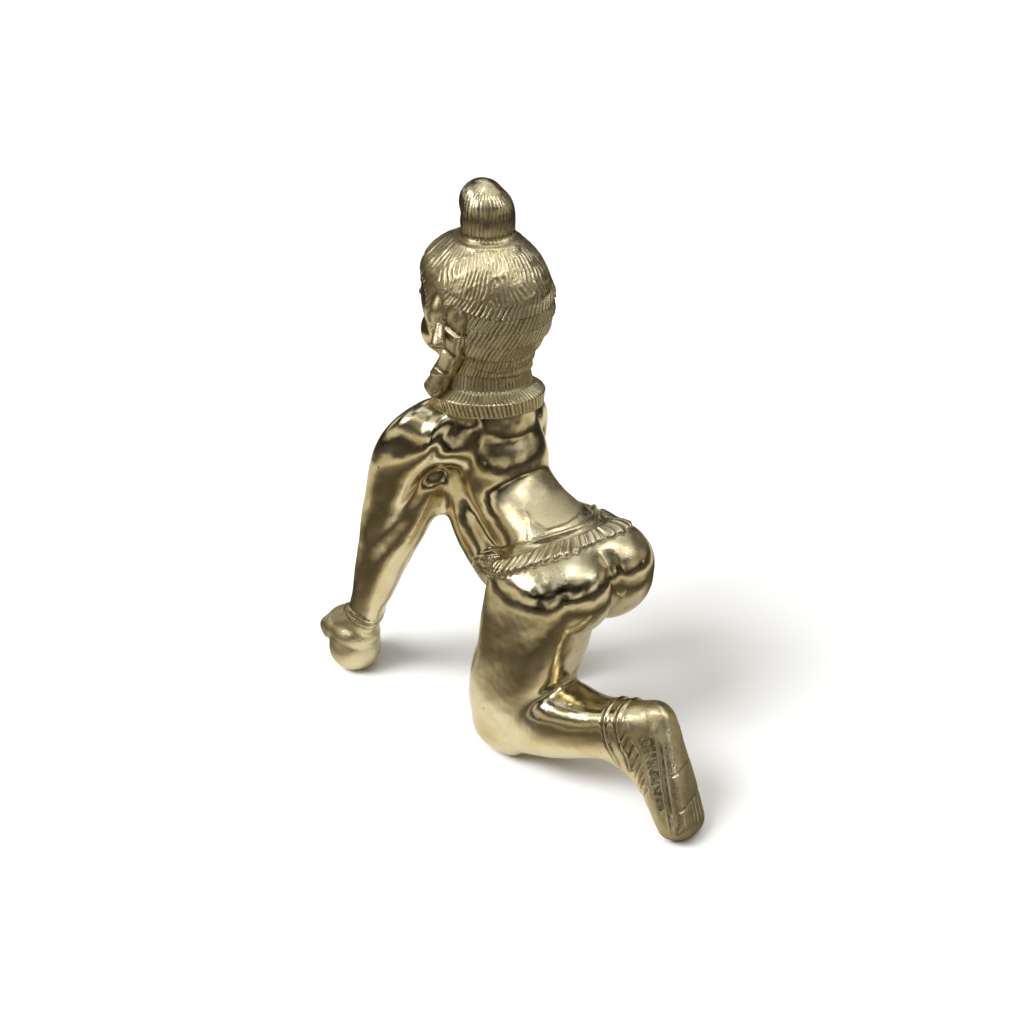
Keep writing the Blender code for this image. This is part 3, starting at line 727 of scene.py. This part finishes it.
def chaseHead(points, normals):
    count = len(points)
    lift, cutAndShade, raw = np.zeros(count), np.zeros(count), np.zeros(count)
    x, y, z = points.T
    back = y - head["axis"]
    angle = np.arctan2(x, back)  # 0 at the nape, +-pi at the face
    drift = wander(points, 5.0, 1.0)
    worn = 0.75 + 0.35 * wander(points, 1.6, 3.0)
    earPath, dropPath, lockPath = [item[0] for item in headTrim["pairedLimbs"][:3]]
    ear, drop, lock = awayFrom(points, earPath), awayFrom(points, dropPath), awayFrom(points, lockPath[1:])
    clear = np.minimum(np.minimum(ear - 2.2, drop - 1.9), lock - 3.0)
    tilt = head["collarTilt"]
    aboveCollar = z - head["collarTop"] - tilt[1] * (y + 10) - tilt[0] * x

    # hair stands proud of the face behind a round hairline
    behindTemples = y - head["temples"]
    aboveBrow = z - head["hairlineTop"] + 0.03 * x**2
    hairline = np.log(np.exp(np.clip(behindTemples, -30, 30)) + np.exp(np.clip(aboveBrow, -30, 30)))
    hair = fade(hairline, 0.0, 1.2) * fade(aboveCollar, 0, 0.8)
    lift += hair * head["hairLift"] * fade(-z, -138.5, -137)
    raw += 0.45 * hair * fade(-z, -141, -139) + 0.25 * fade(z, 139, 141)  # chased hair is never buffed
    raw += 0.5 * fade(-np.minimum(lock, drop + 1), -3.6, -3.0) * (1 - hair)
    edge = ridge(hairline - 0.1, 1.2) * (z < 140) * (z > 105) * fade(clear, -0.2, 0.4)
    lift -= edge * 0.25
    cutAndShade += edge * 0.7
    hair = hair * fade(clear, -0.1, 0.7)

    # rows of slanting strokes at the nape, lapped like shingles
    rise = head["tierRise"] * (1 - np.cos(angle))
    level = z - rise + 0.5 * drift
    nape = fade(-np.abs(angle), -head["rowsEnd"], 0.25 - head["rowsEnd"]) * hair
    edges = head["tiers"]
    rows = np.zeros(count)
    rowCut = np.zeros(count)
    for number, (top, bottom) in enumerate(zip(edges, edges[1:])):
        depth = (top - level) / (top - bottom)
        inRow = (depth >= 0) & (depth < 1)
        depth = np.clip(depth, 0, 1)
        slant = (head["skullRadius"] * angle + 0.6 * z + 0.5 * drift) / head["rowPitch"] + number * 0.37
        groove = strokes(slant, 0.23, number + 5) * worn
        rows += inRow * (head["rowStep"] * depth**1.5 - head["rowCut"] * groove * fade(depth, 0.0, 0.2))
        rowCut += inRow * np.maximum(groove * 1.35, fade(depth, 0.9, 1.0) * 1.1)
    lift += nape * rows
    cutAndShade += nape * rowCut

    # combed crown, from the knot down to the first row
    fromKnot = np.hypot(x, y - head["knotAxis"])
    under = fade(level, edges[0] - 0.4, edges[0] + 0.4)
    overRows = np.abs(angle) < head["rowsEnd"]
    crown = hair * np.where(overRows, under, 1) * fade(-z, -138.0, -137.0)
    comb = angle * head["skullRadius"] / head["crownPitch"] + 1.3 * drift + 0.45 * wander(points, 1.9, 8.0)
    sweep = (y - 0.9 * z - 0.02 * x**2) / head["crownPitch"] + 0.6 * drift
    comb = np.where(overRows, comb, sweep * np.sign(x))
    broken = fade(wander(points, 1.4, 12.0) + 0.5 * wander(points, 0.7, 3.0), -0.8, 0.0)
    groove = strokes(comb, 0.27, 21) * fade(fromKnot, 7.6, 9.4) * broken
    lift -= crown * (groove * head["crownCut"] + 0.1 * wander(points, 0.5, 2.0) * wander(points, 1.1, 4.0))
    cutAndShade += crown * groove * 0.6
    # a few short leaf-shaped cuts beside the nape, just over the first rows
    leaves = strokes((head["skullRadius"] * angle + 0.6 * z) / 2.4 + 0.3 * drift, 0.2, 91)
    leaves = leaves * strokes((z - 4 * angle) / 3.6, 0.42, 92)
    leaves = leaves * hair * fade(np.abs(angle), 0.45, 0.6) * fade(-np.abs(angle), -1.35, -1.15)
    leaves = leaves * fade(level, 120, 121) * fade(-level, -128, -126)
    lift -= leaves * 0.4
    cutAndShade += leaves * 1.1

    # knot: upright strokes that gather towards its tip, over a bound foot
    turn = np.arctan2(x, y - head["knotAxis"])
    inKnot = fade(z, 138.4, 139.4)
    groove = strokes(turn * head["knotRadius"] / head["knotPitch"] + 0.7 * drift, 0.28, 31)
    groove = groove * fade(fromKnot, 1.5, 4) * worn
    lift -= inKnot * groove * 0.26
    cutAndShade += inKnot * groove * 0.6
    band = ridge(z - head["knotFoot"] - 0.02 * back, 1.4) * (fromKnot < 10)
    lift -= band * 0.25
    cutAndShade += band * 0.6

    # locks: flat plates, each lapped over the next
    outward = fade(np.abs(normals[:, 0]), 0.1, 0.4) * fade(-lock, -3.6, -3.0)
    along = z + 0.27 * (y + 8)
    for top, bottom in zip(head["plates"], head["plates"][1:]):
        depth = (top - along) / (top - bottom)
        inPlate = (depth >= 0) & (depth < 1)
        depth = np.clip(depth, 0, 1)
        lift += outward * inPlate * (0.55 - 1.1 * depth) * fade(depth, 0, 0.06)
        cutAndShade += outward * inPlate * (fade(depth, 0.8, 1.0) * 0.95 + 0.3 * fade(depth, 0.1, 0.3))
    seam = ridge(lock - 3.1, 1.0) * (np.abs(x) > 9)
    cutAndShade += seam * 0.8
    lift -= seam * 0.2

    # hollow of the ear, in front of its rim
    front = awayFrom(points, [(a, b - 2.2, *rest) for a, b, *rest in earPath])
    hollow = ridge(front, 4.6)
    lift -= hollow * 0.7
    cutAndShade += hollow * 0.9
    seam = ridge(ear - 2.3, 0.8) * (y > -10)
    cutAndShade += seam * 0.6

    # open end of the ear drop
    end = np.stack([np.abs(x), y, z], axis=1)
    forward, off = alongLine(end, dropPath[-1][:3], head["dropLine"])
    bore = fade(-off, -1.4, -0.9) * fade(forward, -0.4, 0.6) * (forward < 4) * (drop < 3.5)
    lift -= bore * 1.7
    cutAndShade += bore * 1.6
    return lift, cutAndShade, raw


print("modelling the head")
mesh = model(headFlesh, headTrim, head)
chase(mesh, chaseHead)
finishPiece("castHead", mesh, brass)

# Collar: three ribbed bands, turned and then cut stroke by stroke.
collar = {
    "centre": (0.0, -10.0, 101.9),
    "lean": (6.0, -5.0),  # degrees forward, and to the figure's right
    "profile": [
        (9.5, 0.4), (11.2, 0.15), (11.5, -0.3), (12.3, -4.8), (12.5, -5.0),
        (15.3, -6.8), (15.6, -7.1), (15.1, -10.7), (14.7, -11.1), (9.5, -11.5),
    ],
    "columns": 720,
    "stepsBetween": 9,
    "ribPitch": 1.05,
    "beadPitch": 1.25,
}


def modelCollar():
    forward, sideways = [math.radians(angle) for angle in collar["lean"]]
    lean = Matrix.Rotation(sideways, 3, "Y") @ Matrix.Rotation(forward, 3, "X")
    corners = np.array(collar["profile"])
    lengths = np.concatenate([[0], np.cumsum(np.linalg.norm(np.diff(corners, axis=0), axis=1))])
    steps = np.linspace(0, lengths[-1], len(corners) * collar["stepsBetween"])
    radius = np.interp(steps, lengths, corners[:, 0])
    height = np.interp(steps, lengths, corners[:, 1])
    angles = np.linspace(0, 2 * math.pi, collar["columns"], endpoint=False)
    turnGrid = np.tile(angles, (len(steps), 1))
    radiusGrid = np.repeat(radius[:, None], len(angles), 1)
    heightGrid = np.repeat(height[:, None], len(angles), 1)
    out = np.gradient(height), -np.gradient(radius)
    size = np.hypot(*out)
    normalR, normalZ = -out[0] / size, -out[1] / size
    upper = fade(heightGrid, -4.7, -4.3) * fade(-heightGrid, -0.2, 0.1)
    ledge = fade(-heightGrid, 4.85, 5.1) * fade(heightGrid, -7.0, -6.85) * fade(radiusGrid, 12.4, 12.8)
    bead = fade(-heightGrid, 7.2, 7.5) * fade(heightGrid, -10.9, -10.5) * fade(radiusGrid, 13.5, 14.5)
    whole = round(2 * math.pi * 11.8 / collar["ribPitch"])
    beads = round(2 * math.pi * 15.3 / collar["beadPitch"])
    ribs = strokes(turnGrid * whole / (2 * math.pi), 0.22, 51)
    fans = strokes(turnGrid * (whole + 14) / (2 * math.pi), 0.22, 57)
    slants = strokes(turnGrid * beads / (2 * math.pi) + heightGrid * 0.22, 0.25, 61)
    lift = -(upper * ribs * 0.4 + ledge * fans * 0.2 + bead * slants * 0.5)
    lift += 0.16 * np.sin(turnGrid * 3 + 1) + 0.12 * np.sin(turnGrid * 7)
    cutAndShade = upper * ribs * 0.6 + ledge * fans * 0.4 + bead * slants * 0.85
    cutAndShade += ridge(heightGrid + 4.9, 0.5) * (radiusGrid < 12.7) * 0.8
    r = radiusGrid + lift * normalR[:, None]
    h = heightGrid + lift * normalZ[:, None]
    spots = np.stack([r * np.cos(turnGrid), r * np.sin(turnGrid), h], axis=-1).reshape(-1, 3)
    spots = spots @ np.array(lean).T + np.array(collar["centre"])
    rows, columns = turnGrid.shape
    number = np.arange(rows * columns).reshape(rows, columns)
    following = np.roll(number, -1, axis=1)
    quads = np.stack([number[:-1], number[1:], following[1:], following[:-1]], axis=-1).reshape(-1, 4)
    mesh = bpy.data.meshes.new("collar")
    mesh.from_pydata(spots.tolist(), [], quads.tolist() + [number[0].tolist(), number[-1][::-1].tolist()])
    for name, values in (("cutAndShade", cutAndShade), ("raw", np.full_like(cutAndShade, 0.45))):
        layer = mesh.attributes.new(name, "FLOAT", "POINT")
        layer.data.foreach_set("value", np.clip(values, 0, 1).astype(np.float32).ravel())
    mesh.update()
    return mesh


print("modelling the collar")
finishPiece("castCollar", modelCollar(), brass)

# Floor, light and camera.
studio = {
    "floorSize": 2.4,
    "floorColour": "#f4f4f4",
    "cameraAzimuth": 138.0,
    "cameraElevation": 30.0,
    "cameraDistance": 0.480,
    "cameraTarget": (0.0, 0.0, 60.0),  # on the sculptor's grid
    "lens": 61.26,
    "lightTarget": (0.0, 0.0, 0.07),
}


def wayTo(azimuth, elevation):
    a, e = math.radians(azimuth), math.radians(elevation)
    return Vector((math.sin(a) * math.cos(e), -math.cos(a) * math.cos(e), math.sin(e)))


def fillRamp(ramp, stops):
    while len(ramp.color_ramp.elements) < len(stops):
        ramp.color_ramp.elements.new(0.5)
    for element, (position, colour) in zip(ramp.color_ramp.elements, stops):
        element.position = position
        element.color = linear(colour)


# Pale matt paper: a plain light ground that takes a soft shadow.
def makeFloor():
    half = studio["floorSize"] / 2
    mesh = bpy.data.meshes.new("studioFloor")
    corners = [(-half, -half, 0), (half, -half, 0), (half, half, 0), (-half, half, 0)]
    mesh.from_pydata(corners, [], [(0, 1, 2, 3)])
    material = bpy.data.materials.new("palePaperFloor")
    material.use_nodes = True
    tree = material.node_tree
    shader = tree.nodes["Principled BSDF"]
    place = addNode(tree, "ShaderNodeTexCoord").outputs["Object"]
    # The metal mirrors rings of light and dark round the figure, in metres from its middle, and a dark room
    # past them. The camera sees none of this, only the plain pale floor.
    far = addNode(tree, "ShaderNodeVectorMath", {"operation": "LENGTH"}, {0: place}).outputs["Value"]
    cloud = addNode(tree, "ShaderNodeTexNoise", {}, {"Vector": place, "Scale": 9.0, "Detail": 2.0})
    inputs = {0: cloud.outputs["Fac"], 1: -0.1, 2: far}
    reach = addNode(tree, "ShaderNodeMath", {"operation": "MULTIPLY_ADD"}, inputs).outputs[0]
    ramp = addNode(tree, "ShaderNodeValToRGB", {}, {"Fac": reach})
    fillRamp(ramp, [
        (0.0, "#e8e4da"), (0.01, "#b5ad9a"), (0.025, "#5c5342"), (0.06, "#2e2416"), (0.095, "#7d735e"),
        (0.13, "#cfc6b0"), (0.2, "#cfc6b0"), (0.25, "#2e2416"), (0.4, "#1a1109"),
    ])
    mirrored = addNode(tree, "ShaderNodeLightPath").outputs["Is Glossy Ray"]
    both = addNode(tree, "ShaderNodeMix", {"data_type": "RGBA"}, {"Factor": mirrored})
    both.inputs[6].default_value = linear(studio["floorColour"])
    tree.links.new(ramp.outputs["Color"], both.inputs[7])
    tree.links.new(both.outputs[2], shader.inputs["Base Color"])
    shader.inputs["Roughness"].default_value = 0.7
    mesh.materials.append(material)
    floor = bpy.data.objects.new("studioFloor", mesh)
    bpy.context.scene.collection.objects.link(floor)


# The metal mirrors bands of window and dark wall by height. The camera sees a plain pale sweep.
def makeWorld():
    world = bpy.data.worlds.new("studioRoom")
    bpy.context.scene.world = world
    world.use_nodes = True
    tree = world.node_tree
    tree.nodes.clear()
    way = addNode(tree, "ShaderNodeTexCoord").outputs["Generated"]
    up = addNode(tree, "ShaderNodeSeparateXYZ", {}, {"Vector": way}).outputs["Z"]
    ramp = addNode(tree, "ShaderNodeValToRGB", {}, {"Fac": up})
    fillRamp(ramp, [
        (0.0, "#1a1109"), (0.06, "#241a0f"), (0.12, "#cfc7b4"), (0.27, "#cfc7b4"), (0.34, "#1a1109"),
        (0.49, "#241a0f"), (0.6, "#c2beb6"), (0.75, "#e6e4de"), (1.0, "#ecece9"),
    ])
    clouds = addNode(tree, "ShaderNodeTexNoise", {}, {"Vector": way, "Scale": 3.3, "Detail": 4.0})
    gain = addNode(tree, "ShaderNodeMapRange", {}, {
        "Value": clouds.outputs["Fac"], "From Min": 0.44, "From Max": 0.56, "To Min": 0.08, "To Max": 1.55,
    })
    inputs = {"Color": ramp.outputs["Color"], "Strength": gain.outputs[0]}
    room = addNode(tree, "ShaderNodeBackground", {}, inputs)
    sweep = addNode(tree, "ShaderNodeBackground", {}, {"Color": linear("#f6f5f2"), "Strength": 1.0})
    seen = addNode(tree, "ShaderNodeLightPath").outputs["Is Camera Ray"]
    both = addNode(tree, "ShaderNodeMixShader", {}, {0: seen, 1: room.outputs[0], 2: sweep.outputs[0]})
    addNode(tree, "ShaderNodeOutputWorld", {}, {"Surface": both.outputs[0]})


def makeLight(name, azimuth, elevation, distance, size, power):
    lamp = bpy.data.lights.new(name, "AREA")
    lamp.shape = "RECTANGLE"
    lamp.size, lamp.size_y = size
    lamp.energy = power
    lamp.color = (1.0, 0.98, 0.95)
    light = bpy.data.objects.new(name, lamp)
    way = wayTo(azimuth, elevation)
    light.location = Vector(studio["lightTarget"]) + way * distance
    light.rotation_euler = (-way).to_track_quat("-Z", "Y").to_euler()
    bpy.context.scene.collection.objects.link(light)


def makeSun(name, azimuth, elevation, spread, strength):
    lamp = bpy.data.lights.new(name, "SUN")
    lamp.angle = math.radians(spread)
    lamp.energy = strength
    lamp.color = (0.95, 0.98, 1.0)
    light = bpy.data.objects.new(name, lamp)
    light.visible_glossy = False  # it whitens the floor, and the metal doesn't mirror it
    light.rotation_euler = (-wayTo(azimuth, elevation)).to_track_quat("-Z", "Y").to_euler()
    bpy.context.scene.collection.objects.link(light)


def makeCamera():
    way = wayTo(studio["cameraAzimuth"], studio["cameraElevation"])
    data = bpy.data.cameras.new("photoCamera")
    data.lens = studio["lens"]
    data.sensor_width = 36.0
    camera = bpy.data.objects.new("photoCamera", data)
    camera.location = toRoom(studio["cameraTarget"]) + way * studio["cameraDistance"]
    camera.rotation_euler = (-way).to_track_quat("-Z", "Y").to_euler()
    bpy.context.scene.collection.objects.link(camera)
    bpy.context.scene.camera = camera


makeFloor()
makeWorld()
makeLight("softBoxLeft", 62, 38, 0.95, (0.35, 0.25), 2.2)
makeLight("softBoxAbove", 150, 72, 1.0, (0.35, 0.22), 1.6)
makeLight("stripBack", 215, 42, 1.1, (0.12, 0.5), 1.3)
makeSun("softSkylight", 70, 48, 35, 3.0)
makeCamera()
bpy.context.scene.view_settings.view_transform = "Standard"
print("studio ready")
